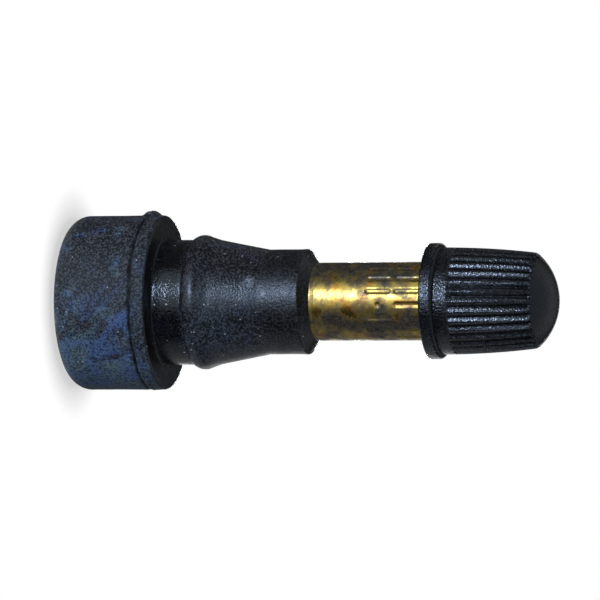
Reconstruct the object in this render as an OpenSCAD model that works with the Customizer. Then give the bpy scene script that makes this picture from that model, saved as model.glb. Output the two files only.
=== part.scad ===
// Snap-in tyre valve: a rubber body moulded on a turned brass stem, with a
// spring-loaded core inside the stem and a fluted screw cap over its thread.
// Millimetres. +Z runs up the stem, and the flange stands on z = 0.

/* [Rubber body] */
// Diameter of the flange that stays inside the wheel
flange_d = 17.44; // [16:0.02:20]
// Height of the flange, from its base to the rim seat
flange_h = 9.68; // [8.5:0.02:12]
// Rounding of the base edge
base_round = 1.9; // [0.6:0.1:2.5]
// Rounding of the rim seat's outer edge
seat_round = 0.28; // [0.1:0.02:0.6]
// Diameter of the neck that fills the rim hole
neck_d = 12.48; // [11.5:0.02:13.5]
// Length of the neck, which takes the thickness of the rim
neck_h = 3; // [2:0.05:4]
// Rounding at the root of the neck
neck_root = 0.25; // [0.1:0.05:0.5]
// How far the bulge that snaps through the rim hole stands out from the neck
bulge_out = 0.465; // [0.3:0.005:1]
// Rounding of the bulge
bulge_round = 1.3; // [1:0.05:2]
// Angle above its widest ring at which that rounding ends
bulge_lean = 28; // [15:1:40]
// How much narrower than the bulge the wide end of the taper is, in radius
taper_in = 0.495; // [0.3:0.005:0.8]
// Height of that wide end above the bulge's widest ring
taper_rise = 1.6; // [1.2:0.1:2.5]
// Length of the taper
taper_h = 5.1; // [3:0.1:7]
// Wall of the rubber sleeve above the taper
sleeve_wall = 1.335; // [0.8:0.005:1.8]
// Length of the sleeve, up to the rubber's end
sleeve_h = 4.06; // [2.5:0.02:6]
// How far the end lip stands out from the sleeve
lip_out = 0.04; // [0.02:0.01:0.2]
// Height of the end lip
lip_h = 0.7; // [0.4:0.1:1.2]
// Rounding of the end lip
lip_round = 0.2; // [0.1:0.05:0.35]
// How far the rubber climbs the brass inside its end lip
end_rise = 0.25; // [0.05:0.05:0.6]
// Diameter of the air hole through the base
vent_d = 5.2; // [4:0.1:6.5]
// Chamfer on that hole's edge
vent_chamfer = 0.6; // [0.2:0.1:0.9]

/* [Mould marks] */
// Distance of the mould's parting line below the rim seat
parting_drop = 1.58; // [1:0.02:3]
// Width of the parting line
parting_w = 0.3; // [0.1:0.05:0.5]
// Depth of the parting line
parting_depth = 0.14; // [0.05:0.01:0.3]
// Height of the rubber flash left on the parting line
flash_h = 0.5; // [0.2:0.05:0.8]
// Radius of that flash
flash_r = 0.85; // [0.85:0.05:1.4]
// Direction of that flash around the flange, in degrees
flash_angle = 225; // [0:5:355]

/* [Brass stem] */
// Diameter of the stem and of its cap thread's crests
stem_d = 7.75; // [7.4:0.05:8.2]
// Height of the stem's mouth above the base
stem_end = 46.6; // [44:0.1:52]
// Chamfer on the rim of the mouth
mouth_chamfer = 0.5; // [0.2:0.05:0.6]
// Chamfer inside the mouth
mouth_lead = 0.25; // [0.1:0.05:0.35]
// Diameter of the air passage through the stem
air_d = 3; // [2:0.1:3.4]
// Height of the stem's foot above the base
foot_z = 1.6; // [1:0.1:2]
// How far the foot that anchors the stem stands out from it
foot_out = 0.95; // [0.5:0.05:1.5]
// Thickness of the foot
foot_h = 1.3; // [0.8:0.1:1.6]
// How far the anchoring ribs above the foot stand out
rib_out = 0.5; // [0.3:0.05:1]
// Width of an anchoring rib
rib_h = 0.7; // [0.4:0.1:0.9]
// Gap between one anchoring rib and the next
rib_gap = 1; // [0.6:0.1:1.3]
// Number of anchoring ribs
rib_count = 3; // [1:1:3]

/* [Cap] */
// How far the cap's skirt reaches below the stem's mouth
cap_reach = 9.94; // [8.5:0.02:11]
// Wall of the cap at the bottom of its body
cap_wall = 1.335; // [1.2:0.005:2]
// How much thinner that wall is at the dome
cap_taper = 0.535; // [0.2:0.005:0.6]
// Outward swell of the body between its ends
cap_swell = 0.12; // [0.02:0.02:0.2]
// How far the flange stands out from the body
cap_flange_out = 0.44; // [0.2:0.02:0.8]
// Height of the flange's straight edge
cap_flange_h = 1.05; // [0.6:0.05:1.5]
// Bevel of the flange's lower edge
cap_edge = 0.15; // [0.05:0.05:0.3]
// Height of the dome
dome_h = 2.2; // [1:0.05:3]
// Thickness of the roof over the seal
roof_h = 1.72; // [1:0.02:2.2]
// Number of grip flutes
flute_count = 32; // [24:1:34]
// Depth of a flute
flute_depth = 0.2; // [0.15:0.01:0.4]
// Width of the ridge left between two flutes
ridge_w = 0.24; // [0.2:0.02:0.5]
// Width of a flute's floor
flute_floor_w = 0.16; // [0.08:0.02:0.3]
// Turn of the flutes around the cap, in degrees
flute_turn = 6.5; // [0:0.5:11]
// Height of the plain band between the flange and the flutes
band_h = 1.2; // [0.5:0.05:2]
// Chamfer that leads the stem into the cap
cap_lead = 0.5; // [0.2:0.1:0.8]
// Thickness of the rubber seal inside the cap
cap_seal_h = 1.15; // [0.8:0.05:1.5]
// How much narrower than the thread bore the seal's pocket is, in radius
pocket_step = 0.55; // [0.4:0.05:0.8]

/* [Valve core] */
// Diameter of the core plug's thread
plug_d = 5.2; // [5.1:0.05:5.4]
// How far the plug's thread runs on in the stem below the core's shoulder
thread_run = 0.6; // [0.3:0.05:0.8]
// Height of the core plug
plug_h = 4.2; // [3.8:0.1:5]
// Width of the bridge across the plug
bridge_w = 2; // [1.6:0.1:2.4]
// Thickness of the bridge
bridge_h = 1; // [0.6:0.1:1.2]
// Height of the air windows under the bridge
window_h = 1; // [0.5:0.1:1.5]
// Diameter of the pin
pin_d = 0.9; // [0.7:0.05:1]
// How far the pin's head stands out from its shank
head_out = 0.3; // [0.2:0.05:0.5]
// Height of the pin's head
head_h = 0.8; // [0.5:0.05:1]
// Rounding of the pin's head
head_round = 0.3; // [0.1:0.05:0.4]
// How far the pin's head lies below the mouth
head_drop = 0.2; // [0.1:0.05:0.4]
// Travel of the pin when it is pressed
pin_travel = 1.6; // [1:0.1:2]
// Outer diameter of the spring
spring_d = 2.1; // [1.9:0.05:2.3]
// Diameter of the spring's wire
wire_d = 0.3; // [0.2:0.02:0.34]
// Turns of the spring, with one closed turn at each end
spring_turns = 8; // [6:1:10]
// Length of the spring as fitted
spring_h = 6.9; // [6:0.1:7.6]
// Height of the spring's stop on the pin above the core's shoulder
stop_rise = 0.75; // [0.5:0.05:1]
// Thickness of that stop
stop_h = 0.4; // [0.3:0.05:0.6]
// Wall of the core's barrel
barrel_wall = 0.4; // [0.3:0.05:0.5]
// Height of the barrel above its shoulder
barrel_neck_h = 1.8; // [1.6:0.1:2]
// Thickness of the barrel's shoulder
shoulder_h = 1; // [0.7:0.1:1.2]
// Height of the tapered seal on the barrel
barrel_seal_h = 2.4; // [1.8:0.1:2.6]
// How far the stem's conical seat widens, in radius
seat_step = 0.4; // [0.3:0.05:0.5]
// Length of that seal's straight part
seal_land = 0.85; // [0.5:0.05:1.2]
// Thickness of the collar under that seal
collar_h = 0.45; // [0.3:0.05:0.7]
// Thickness of the barrel's floor
floor_h = 1; // [0.7:0.1:1.2]
// Height of the valve seat below that floor
seat_lip_h = 0.8; // [0.5:0.1:1]
// Wall and floor of the plunger's cup
cup_wall = 0.22; // [0.15:0.01:0.3]
// Height of the plunger's cup
cup_h = 1.3; // [1:0.05:1.6]
// How far the plunger's seal stands out of its cup
cup_proud = 0.1; // [0.05:0.05:0.2]
// How far the riveted foot of the pin stands out from its shank
rivet_out = 0.25; // [0.15:0.05:0.4]
// Height of that riveted foot
rivet_h = 0.3; // [0.2:0.05:0.5]

/* [Fits] */
// Gap between a piece and the rubber or the cup bonded to it
bond_gap = 0.02; // [0.01:0.01:0.05]
// Radial clearance of a screw thread
thread_gap = 0.08; // [0.05:0.01:0.1]
// Radial clearance of the core's sliding pieces
slide_gap = 0.1; // [0.06:0.01:0.12]
// Gap between a seal and the face it closes on
seal_gap = 0.04; // [0.02:0.01:0.08]
// Air gap around the core in the stem's lower bore
air_gap = 0.35; // [0.25:0.05:0.5]
// Room left past the end of the pin's travel
press_gap = 0.1; // [0.05:0.05:0.4]

/* [Hidden] */
$fn = 96;

// Rubber body
flange_r = flange_d / 2;
neck_r = neck_d / 2;
bulge_r = neck_r + bulge_out;
bulge_in_r = bulge_r - bulge_round;
bulge_foot = acos(1 - bulge_out / bulge_round);
bulge_z = flange_h + neck_h + bulge_round * sin(bulge_foot);
taper_r = bulge_r - taper_in;
taper_z = bulge_z + taper_rise;
sleeve_z = taper_z + taper_h;
rubber_end = sleeve_z + sleeve_h;
vent_r = vent_d / 2;
parting_z = flange_h - parting_drop;

// Brass stem
stem_r = stem_d / 2;
sleeve_r = stem_r + sleeve_wall;
lip_r = sleeve_r + lip_out;
foot_r = stem_r + foot_out;
rib_r = stem_r + rib_out;
rib_pitch = rib_h + rib_gap;
rib_z = foot_z + foot_h + rib_gap;
air_r = air_d / 2;

// Core, set by the room that its pin needs below the mouth
head_z = stem_end - head_drop - head_h;
plug_top = head_z - pin_travel - press_gap;
core_z = plug_top - plug_h;
plug_r = plug_d / 2;
thread_r = plug_r + thread_gap;
pin_r = pin_d / 2;
pin_hole_r = pin_r + slide_gap;
floor_hole_r = pin_r + 2 * slide_gap;
spring_room_r = spring_d / 2 + slide_gap;
barrel_r = spring_room_r + barrel_wall;
plug_bore_r = barrel_r + slide_gap / 2;
bore_r = max(barrel_r + air_gap, air_r + slide_gap);
collar_r = bore_r - slide_gap;
chamber_r = bore_r + seat_step;
shoulder_r = chamber_r - slide_gap;
thread_floor = core_z - thread_run;
barrel_seal_top = core_z - shoulder_h - seal_gap;
barrel_seal_z = barrel_seal_top - barrel_seal_h;
cone_top = barrel_seal_top - seal_land;
cone_bottom = barrel_seal_z - collar_h;
spring_stop = core_z + stop_rise;
spring_floor = spring_stop - spring_h;
stop_r = spring_d / 2 - wire_d / 4;
floor_z = spring_floor - floor_h;
seat_z = floor_z - seat_lip_h;
cup_r = barrel_r + cup_wall / 2;
cup_top = seat_z - seal_gap - cup_proud;
cup_z = cup_top - cup_h;
bore_floor = cup_z - rivet_h - pin_travel - press_gap;
air_cone_h = bore_r - air_r;

// The mouth's chamfers share the wall between the two threads
mouth_wall = stem_r - thread_r;
mouth_out = min(mouth_chamfer, mouth_wall / 2);
mouth_in = min(mouth_lead, mouth_wall / 4);

// Cap
cap_z = stem_end - cap_reach;
cap_bore_r = stem_r + thread_gap;
cap_r = cap_bore_r + cap_wall;
cap_tip_r = cap_r - cap_taper;
cap_flange_r = cap_r + cap_flange_out;
cap_body_z = cap_z + cap_flange_h + cap_flange_out;
pocket_r = cap_bore_r - pocket_step;
pocket_z = stem_end + 2 * seal_gap;
cap_ceiling = pocket_z + cap_seal_h;
dome_z = cap_ceiling + roof_h - dome_h;
dome_r = (cap_tip_r ^ 2 + dome_h ^ 2) / (2 * dome_h);
dome_centre = dome_z + dome_h - dome_r;
flute_z = cap_body_z + band_h;
flute_w = 2 * PI * cap_r / flute_count - ridge_w;

// Points along an arc in the (r, z) plane, from angle a0 to a1, where 0 points outwards
function arc(centre, radius, a0, a1, steps = 8) =
    [for (i = [0:steps]) let (a = a0 + (a1 - a0) * i / steps)
        centre + radius * [cos(a), sin(a)]];

// A list in the opposite order
function reversed(list) = [for (i = [len(list) - 1:-1:0]) list[i]];

// A solid of revolution about the stem's axis
module turned(points) {
    rotate_extrude() polygon(points);
}

// The stem's outside where it is sunk in the rubber, from its foot upwards, grown by a gap
function stem_root(gap) = concat(
    [[foot_r + gap, foot_z - gap], [foot_r + gap, foot_z + foot_h + gap],
     [stem_r + gap, foot_z + foot_h + gap]],
    [for (i = [0:rib_count - 1]) let (z = rib_z + i * rib_pitch)
        each [[stem_r + gap, z - gap], [rib_r + gap, z - gap],
              [rib_r + gap, z + rib_h + gap], [stem_r + gap, z + rib_h + gap]]]);

// The rubber's outside, from the base to the end lip
function rubber_outside() = concat(
    [[vent_r + vent_chamfer, 0]],
    arc([flange_r - base_round, base_round], base_round, -90, 0),
    [[flange_r, parting_z - parting_w / 2], [flange_r - parting_depth, parting_z],
     [flange_r, parting_z + parting_w / 2]],
    arc([flange_r - seat_round, flange_h - seat_round], seat_round, 0, 90, 5),
    arc([neck_r + neck_root, flange_h + neck_root], neck_root, -90, -180, 4),
    arc([bulge_in_r, bulge_z], bulge_round, -bulge_foot, bulge_lean, 12),
    [[taper_r, taper_z], [sleeve_r, sleeve_z], [sleeve_r, rubber_end - lip_h]],
    arc([lip_r - lip_round, rubber_end - lip_round], lip_round, 0, 90, 5));

// Flange, neck, bulge, taper and sleeve: one moulding, bonded round the stem's foot and ribs
module rubber_body() color("#262a33") {
    turned(concat(
        rubber_outside(),
        [[stem_r + bond_gap, rubber_end + end_rise]],
        reversed(stem_root(bond_gap)),
        [[vent_r, foot_z - bond_gap], [vent_r, vent_chamfer]]));
    rotate(flash_angle)
        translate([flange_r + flash_h - flash_r, 0, parting_z])
            sphere(r = flash_r);
}

// Turned stem: foot, ribs, plain shank, cap thread, and the stepped bore that holds the core
module brass_stem() color("#b08a3c") turned(concat(
    stem_root(0),
    [[stem_r, stem_end - mouth_out], [stem_r - mouth_out, stem_end],
     [thread_r + mouth_in, stem_end], [thread_r, stem_end - mouth_in],
     [thread_r, thread_floor], [chamber_r, thread_floor], [chamber_r, cone_top],
     [bore_r, cone_bottom], [bore_r, bore_floor], [air_r, bore_floor - air_cone_h],
     [air_r, foot_z]]));

// Outline of the cap's swelling side, from the flange up to the dome's edge
function cap_side(steps = 8) = [for (i = [0:steps]) let (t = i / steps)
    [cap_r - cap_taper * t + 4 * cap_swell * t * (1 - t),
     cap_body_z + (dome_z - cap_body_z) * t]];

// Screw cap: flange, fluted body, dome, thread bore and the seal's pocket
module cap() color("#1d1f24") difference() {
    turned(concat(
        [[cap_bore_r + cap_lead, cap_z], [cap_flange_r - cap_edge, cap_z],
         [cap_flange_r, cap_z + cap_edge], [cap_flange_r, cap_z + cap_flange_h]],
        cap_side(),
        arc([0, dome_centre], dome_r, acos(cap_tip_r / dome_r), 90, 12),
        [[0, cap_ceiling], [pocket_r, cap_ceiling], [pocket_r, pocket_z],
         [cap_bore_r, pocket_z], [cap_bore_r, cap_z + cap_lead]]));
    flutes();
}

// V-shaped grooves that lean with the body's taper and run out over the dome
module flutes() {
    length = dome_z - flute_z;
    lean = atan(cap_taper / length);
    rim_w = 2 * flute_w - flute_floor_w;
    for (i = [0:flute_count - 1])
        rotate(flute_turn + i * 360 / flute_count)
            translate([cap_r, 0, flute_z])
                rotate([0, -lean, 0])
                    linear_extrude(height = 2 * length)
                        polygon([[-flute_depth, -flute_floor_w / 2], [flute_depth, -rim_w / 2],
                                 [flute_depth, rim_w / 2], [-flute_depth, flute_floor_w / 2]]);
}

// Rubber disc in the top of the cap, which closes on the stem's mouth
module cap_seal() color("#3a3c40")
    translate([0, 0, stem_end + seal_gap])
        cylinder(r = pocket_r - slide_gap / 2, h = cap_seal_h);

// Threaded plug that holds the core down, with a bridge across it for the core tool
module core_plug() color("#b7923f") translate([0, 0, core_z]) difference() {
    window_z = plug_h - bridge_h - window_h;
    cylinder(r = plug_r, h = plug_h);
    translate([0, 0, -plug_h])
        cylinder(r = plug_bore_r, h = 2 * plug_h - bridge_h);
    cylinder(r = pin_hole_r, h = 2 * plug_h);
    for (side = [0, 180])
        rotate(side)
            translate([-plug_r, bridge_w / 2, window_z])
                cube([plug_d, plug_r, plug_h]);
}

// Barrel: neck in the plug, shoulder, waist for the seal, collar, spring room and valve seat
module core_barrel() color("#c29c48") turned([
    [spring_room_r, seat_z], [barrel_r, seat_z],
    [barrel_r, cone_bottom + slide_gap], [collar_r, cone_bottom + slide_gap],
    [collar_r, barrel_seal_z - seal_gap], [barrel_r, barrel_seal_z - seal_gap],
    [barrel_r, core_z - shoulder_h], [shoulder_r, core_z - shoulder_h],
    [shoulder_r, core_z - seal_gap], [barrel_r, core_z - seal_gap],
    [barrel_r, core_z + barrel_neck_h], [spring_room_r, core_z + barrel_neck_h],
    [spring_room_r, spring_floor], [floor_hole_r, spring_floor],
    [floor_hole_r, floor_z], [spring_room_r, floor_z]]);

// Radius of the stem's conical seat at height z
function cone_r(z) = bore_r + seat_step * (z - cone_bottom) / (cone_top - cone_bottom);

// Tapered ring on the barrel, pressed into the stem's conical seat
module barrel_seal() color("#8f2f2a") turned([
    [barrel_r + bond_gap, barrel_seal_z],
    [cone_r(barrel_seal_z) - seal_gap, barrel_seal_z],
    [chamber_r - seal_gap, cone_top], [chamber_r - seal_gap, barrel_seal_top],
    [barrel_r + bond_gap, barrel_seal_top]]);

// Height of the spring's wire along its turns: closed at both ends and open between
function coil_z(turn) = let (rise = spring_h - 2 * seal_gap - 3 * wire_d)
    wire_d * min(turn, 1) + rise * max(0, min(1, (turn - 1) / (spring_turns - 2)))
    + wire_d * max(0, turn - spring_turns + 1);

// Compression spring between the barrel's floor and the pin's stop
module core_spring() color("silver") {
    sides = 8;
    steps = 14;
    rings = spring_turns * steps;
    coil_r = (spring_d - wire_d) / 2;
    points = [for (i = [0:rings]) let (turn = i / steps, a = 360 * turn)
        for (j = [0:sides - 1]) let (b = 360 * j / sides, r = coil_r + wire_d / 2 * cos(b))
            [r * cos(a), r * sin(a), coil_z(turn) + wire_d / 2 * (1 + sin(b))]];
    walls = [for (i = [0:rings - 1], j = [0:sides - 1]) let (k = (j + 1) % sides)
        [i * sides + j, i * sides + k, (i + 1) * sides + k, (i + 1) * sides + j]];
    ends = [[for (j = [sides - 1:-1:0]) j], [for (j = [0:sides - 1]) rings * sides + j]];
    translate([0, 0, spring_floor + seal_gap])
        polyhedron(points, concat(walls, ends));
}

// Pin: rounded head, shank, the stop that the spring lifts, and the riveted foot
module core_pin() color("#c8a24c") {
    head_r = pin_r + head_out;
    head_top = head_z + head_h;
    rivet_r = pin_r + rivet_out;
    turned(concat(
        [[0, cup_z - rivet_h], [rivet_r, cup_z - rivet_h], [rivet_r, cup_z], [pin_r, cup_z],
         [pin_r, spring_stop], [stop_r, spring_stop], [stop_r, spring_stop + stop_h],
         [pin_r, spring_stop + stop_h], [pin_r, head_z], [head_r, head_z]],
        arc([head_r - head_round, head_top - head_round], head_round, 0, 90, 5),
        [[0, head_top]]));
}

// Brass cup on the pin's foot, which carries the plunger's seal
module plunger_cup() color("#b7923f") turned([
    [pin_r + bond_gap, cup_z], [cup_r, cup_z], [cup_r, cup_top], [cup_r - cup_wall, cup_top],
    [cup_r - cup_wall, cup_z + cup_wall], [pin_r + bond_gap, cup_z + cup_wall]]);

// Rubber washer in the cup, which closes on the barrel's seat
module plunger_seal() color("#2b2b2e") turned([
    [pin_r + bond_gap, cup_z + cup_wall + bond_gap],
    [cup_r - cup_wall - bond_gap, cup_z + cup_wall + bond_gap],
    [cup_r - cup_wall - bond_gap, cup_top + cup_proud], [pin_r + bond_gap, cup_top + cup_proud]]);

rubber_body();
brass_stem();
cap();
cap_seal();
core_plug();
core_barrel();
barrel_seal();
core_spring();
core_pin();
plunger_cup();
plunger_seal();
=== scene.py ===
import math
import bmesh
import bpy
from mathutils import Matrix, Vector, noise


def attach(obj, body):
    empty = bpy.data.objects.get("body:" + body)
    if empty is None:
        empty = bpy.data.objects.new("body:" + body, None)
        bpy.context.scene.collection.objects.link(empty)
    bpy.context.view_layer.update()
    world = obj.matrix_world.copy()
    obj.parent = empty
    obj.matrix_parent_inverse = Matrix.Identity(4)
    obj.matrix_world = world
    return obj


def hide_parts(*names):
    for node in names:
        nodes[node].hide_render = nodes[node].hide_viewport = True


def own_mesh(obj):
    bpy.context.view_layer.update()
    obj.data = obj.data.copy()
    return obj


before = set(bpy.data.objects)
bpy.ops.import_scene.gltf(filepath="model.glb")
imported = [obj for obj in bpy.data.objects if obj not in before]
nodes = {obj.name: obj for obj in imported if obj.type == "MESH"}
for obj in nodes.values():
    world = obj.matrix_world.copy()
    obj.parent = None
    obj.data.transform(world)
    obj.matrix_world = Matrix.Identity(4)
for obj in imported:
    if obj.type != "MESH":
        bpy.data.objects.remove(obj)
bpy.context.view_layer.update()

mm = 0.001
mergeGap = 0.0001  # mm, points closer than this become one
touchGap = 0.01  # mm, a vertex this near a surface lies on it
print("frame loaded:", ", ".join(sorted(nodes)))


# Small tools

def hexColour(code):
    channels = [int(code[i:i + 2], 16) / 255 for i in (1, 3, 5)]
    linear = [c / 12.92 if c <= 0.04045 else ((c + 0.055) / 1.055) ** 2.4 for c in channels]
    return linear + [1.0]


def addNode(tree, kind, inputs=None, **settings):
    # a Mix node goes by number: its share is 0, two numbers are 2 and 3, two colours 6 and 7,
    # and a mixed number comes out at 0, a mixed colour at 2
    node = tree.nodes.new(kind)
    for name, value in settings.items():
        setattr(node, name, value)
    for key, value in (inputs or {}).items():
        if isinstance(value, bpy.types.NodeSocket):
            tree.links.new(value, node.inputs[key])
        else:
            node.inputs[key].default_value = value
    return node


def startMaterial(name):
    # patterns are laid out in mm on the piece itself
    material = bpy.data.materials.new(name)
    material.use_nodes = True
    tree = material.node_tree
    place = addNode(tree, "ShaderNodeTexCoord")
    inMm = addNode(tree, "ShaderNodeMapping", {"Vector": place.outputs["Object"], "Scale": [1 / mm] * 3})
    return material, tree, tree.nodes["Principled BSDF"], inMm.outputs["Vector"]


def placeOnStem(tree, inMm):
    # sockets for X, Y and height in mm, and for the distance from the stem's axis
    along = addNode(tree, "ShaderNodeSeparateXYZ", {"Vector": inMm})
    flat = addNode(tree, "ShaderNodeVectorMath", {0: inMm, 1: (1, 1, 0)}, operation="MULTIPLY")
    radius = addNode(tree, "ShaderNodeVectorMath", {0: flat.outputs["Vector"]}, operation="LENGTH")
    return along.outputs, radius.outputs["Value"]


def arcPoints(centreR, centreZ, radius, start, end, steps):
    turns = [math.radians(start + (end - start) * i / steps) for i in range(steps + 1)]
    return [(centreR + radius * math.cos(a), centreZ + radius * math.sin(a)) for a in turns]


def fillIn(points, spacing):
    # extra points on long straight runs, so that a surface can be worked in detail
    dense = [points[0]]
    for (r0, z0), (r1, z1) in zip(points, points[1:]):
        pieces = max(1, math.ceil(math.hypot(r1 - r0, z1 - z0) / spacing))
        dense += [(r0 + (r1 - r0) * i / pieces, z0 + (z1 - z0) * i / pieces) for i in range(1, pieces + 1)]
    return dense


def turnProfile(points, steps, closed):
    bm = bmesh.new()
    ring = [bm.verts.new((r * mm, 0, z * mm)) for r, z in points]
    edges = [bm.edges.new(pair) for pair in zip(ring, ring[1:])]
    if closed:
        edges.append(bm.edges.new((ring[-1], ring[0])))
    bmesh.ops.spin(bm, geom=ring + edges, cent=(0, 0, 0), axis=(0, 0, 1), dvec=(0, 0, 0),
                   angle=math.tau, steps=steps, use_merge=True, use_duplicate=False)
    bmesh.ops.remove_doubles(bm, verts=bm.verts, dist=mergeGap * mm)
    return bm


def polar(vert):
    x, y, z = vert.co / mm
    return math.hypot(x, y), math.atan2(y, x), z


def setPolar(vert, r, angle, z):
    vert.co = Vector((r * math.cos(angle), r * math.sin(angle), z)) * mm


def smoothStep(low, high, value):
    t = min(1, max(0, (value - low) / (high - low)))
    return t * t * (3 - 2 * t)


def addObject(name, data):
    thing = bpy.data.objects.new(name, data)
    bpy.context.scene.collection.objects.link(thing)
    return thing


def addMesh(name, bm):
    mesh = bpy.data.meshes.new(name)
    bm.to_mesh(mesh)
    bm.free()
    return addObject(name, mesh)


def finishPiece(bm, name, node, body, material, sharpDeg):
    bmesh.ops.recalc_face_normals(bm, faces=bm.faces)
    piece = addMesh(name, bm)
    piece.data.shade_smooth()
    piece.data.set_sharp_from_angle(angle=math.radians(sharpDeg))
    piece.data.materials.append(material)
    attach(piece, body)
    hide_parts(node)
    print(name, "has", len(piece.data.polygons), "faces")


# Materials

def makeMouldedRubber():
    # carbon-black rubber from a steel mould: satin black, dusty, dulled on the flange by a blue-grey bloom
    look = {
        "black": "#080808", "grey": "#515155", "bloom": "#50759c", "violetBloom": "#585c9c",
        "greyBloom": "#647a80", "pale": "#6a7078", "scuff": "#8d95a0", "dust": "#c4ccd0", "shine": "#d2e6f8",
        "patchMm": 2.1, "patchLean": (0.52, -0.62, 0), "patchStretch": (1, 1, 1.8), "hollowMm": 0.08,
        "grainMm": 0.2, "grainDepthMm": 0.05, "neckPits": 0.6, "ior": 1.52,
        "roughLow": 0.28, "roughHigh": 0.42, "bloomRough": 0.68,
        "speckMm": 0.42, "dustAbove": 0.7, "dustGrain": 0.14,
        # where the crease's painted shade begins, in height and radius, and where the pale edge lies
        "creaseZ": 7.3, "creaseR": 8.5, "flangeR": 8.67, "edgeR": 8.8, "edgeHalf": 0.05,
        # painted light on the bloom: its lean per mm sideways, towards one side and towards both sides
        "acrossPerMm": 0.08, "litOneSide": 0.15, "litBothSides": 0.08,
        # how a share changes up the stem: from this height, to this one, share before, share after
        "fades": {
            "flange": (9.75, 9.4, 0.0, 1.0), "strip": (8.1, 8.3, 1.0, 0.55),
            "pastNeck": (12.2, 13.2, 0.12, 0.75), "neckGloss": (12.2, 13.2, 0.5, 1.0),
            "taperBloom": (21.5, 19.0, 0.0, 0.4), "sleeveGrain": (19.8, 21.2, 1.0, 0.6),
        },
        # middle and reach of each pale scuff
        "scuffs": {(2.11, -4.95, 19.47): (0.75, 0.75, 0.75), (3.04, -4.23, 20.92): (0.35, 0.8, 0.3)},
    }
    material, tree, shader, inMm = startMaterial("mouldedRubber")
    leaned = addNode(tree, "ShaderNodeMapping", {
        "Vector": inMm, "Rotation": look["patchLean"], "Scale": look["patchStretch"]}, vector_type="TEXTURE")
    patches = addNode(tree, "ShaderNodeTexNoise", {
        "Vector": leaned.outputs["Vector"], "Scale": 1 / look["patchMm"], "Detail": 6, "Roughness": 0.66,
        "Distortion": 0.5})
    # grain drawn coarser than the real one
    grain = addNode(tree, "ShaderNodeTexNoise", {
        "Vector": inMm, "Scale": 1 / look["grainMm"], "Detail": 1, "Roughness": 0.6})
    along, radius = placeOnStem(tree, inMm)
    share = {}
    for name, (startZ, endZ, before, after) in look["fades"].items():
        share[name] = addNode(tree, "ShaderNodeMapRange", {
            "Value": along["Z"], "From Min": startZ, "From Max": endZ,
            "To Min": before, "To Max": after}).outputs["Result"]
    grainShare = addNode(tree, "ShaderNodeMath", {
        0: share["flange"], 1: share["pastNeck"]}, operation="MAXIMUM").outputs["Value"]

    # inside the flange's side, in the parting line's crease and over the seat's rounded edge and faintly its
    # face, bloom and speckle are left out as painted shade, kept black; the flange's outermost edge is rubbed
    # pale
    inCrease = addNode(tree, "ShaderNodeMapRange", {
        "Value": radius, "From Min": look["flangeR"], "From Max": look["creaseR"]})
    aboveBase = addNode(tree, "ShaderNodeMath", {
        0: along["Z"], 1: look["creaseZ"]}, operation="GREATER_THAN")
    creaseShade = inCrease.outputs["Result"]
    for part in (aboveBase.outputs["Value"], share["flange"]):
        creaseShade = addNode(tree, "ShaderNodeMath", {0: creaseShade, 1: part}, operation="MULTIPLY").outputs["Value"]
    outsideCreaseShade = addNode(tree, "ShaderNodeMath", {0: 1.0, 1: creaseShade}, operation="SUBTRACT").outputs["Value"]
    onEdge = addNode(tree, "ShaderNodeMapRange", {
        "Value": radius, "From Min": look["edgeR"] - look["edgeHalf"],
        "From Max": look["edgeR"] + look["edgeHalf"]})

    # the bloom lies in patches, and more of it is painted towards two sides as painted light that brightens
    # the flange's sides
    acrossXY = addNode(tree, "ShaderNodeMath", {0: along["X"], 1: along["Y"]}, operation="ADD")
    towardsX = addNode(tree, "ShaderNodeMath", {
        0: acrossXY.outputs["Value"], 1: look["acrossPerMm"]}, operation="MULTIPLY")
    eitherWay = addNode(tree, "ShaderNodeMath", {
        0: towardsX.outputs["Value"], 1: towardsX.outputs["Value"]}, operation="MULTIPLY")
    patchesLitOneSide = addNode(tree, "ShaderNodeMath", {
        0: towardsX.outputs["Value"], 1: look["litOneSide"], 2: patches.outputs["Fac"]},
        operation="MULTIPLY_ADD")
    patchesLitSides = addNode(tree, "ShaderNodeMath", {
        0: eitherWay.outputs["Value"], 1: look["litBothSides"], 2: patchesLitOneSide.outputs["Value"]},
        operation="MULTIPLY_ADD")
    bloomAndSideLight = addNode(tree, "ShaderNodeMapRange", {
        "Value": patchesLitSides.outputs["Value"], "From Min": 0.46, "From Max": 0.61, "To Min": 0.02, "To Max": 0.8})
    onTaper = addNode(tree, "ShaderNodeMath", {
        0: share["taperBloom"], 1: share["pastNeck"]}, operation="MULTIPLY")
    bloomZone = addNode(tree, "ShaderNodeMath", {
        0: share["flange"], 1: onTaper.outputs["Value"]}, operation="MAXIMUM")
    # the bloom's share carries the painted light of the sides, and leaves out the crease's painted shade
    bloomAndSideLightShare = bloomAndSideLight.outputs["Result"]
    for part in (bloomZone.outputs["Value"], share["strip"], outsideCreaseShade):
        bloomAndSideLightShare = addNode(tree, "ShaderNodeMath", {
            0: bloomAndSideLightShare, 1: part}, operation="MULTIPLY").outputs["Value"]

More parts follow.
